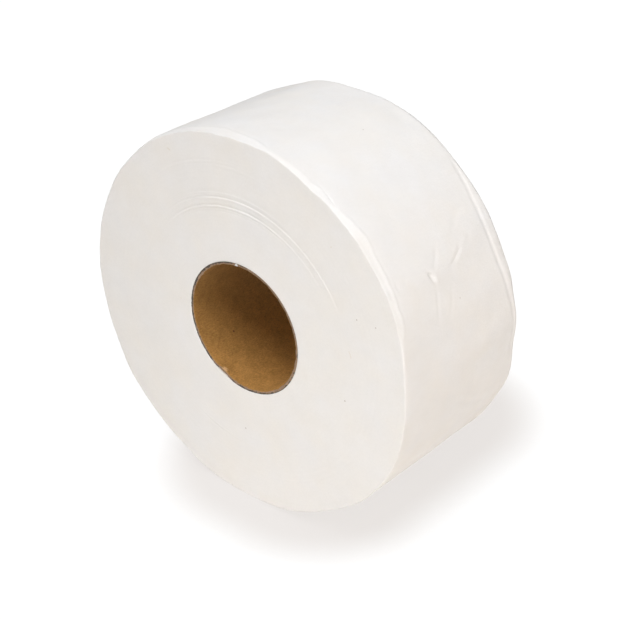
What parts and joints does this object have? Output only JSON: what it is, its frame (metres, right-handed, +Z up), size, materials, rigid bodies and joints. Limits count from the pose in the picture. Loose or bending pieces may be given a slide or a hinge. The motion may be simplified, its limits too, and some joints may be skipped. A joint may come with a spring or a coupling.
{
  "type": "toilet paper roll",
  "caption": "Large washroom toilet paper roll: white tissue wound on a brown cardboard core, standing on its tread with the glued end of the sheet on one side.",
  "frame": {"origin": "on the surface that the roll stands on, under the middle of the roll", "axes": "+Z up, +Y along the core's bore towards the back end, so the front end faces -Y"},
  "size_m": [0.2281, 0.0944, 0.2275],
  "materials": {
    "tissue": "matte creped tissue",
    "board": "matte kraft board"
  },
  "bodies": {
    "root": {"tissue_roll": "tissue", "cardboard_core": "board"}
  },
  "joints": []
}
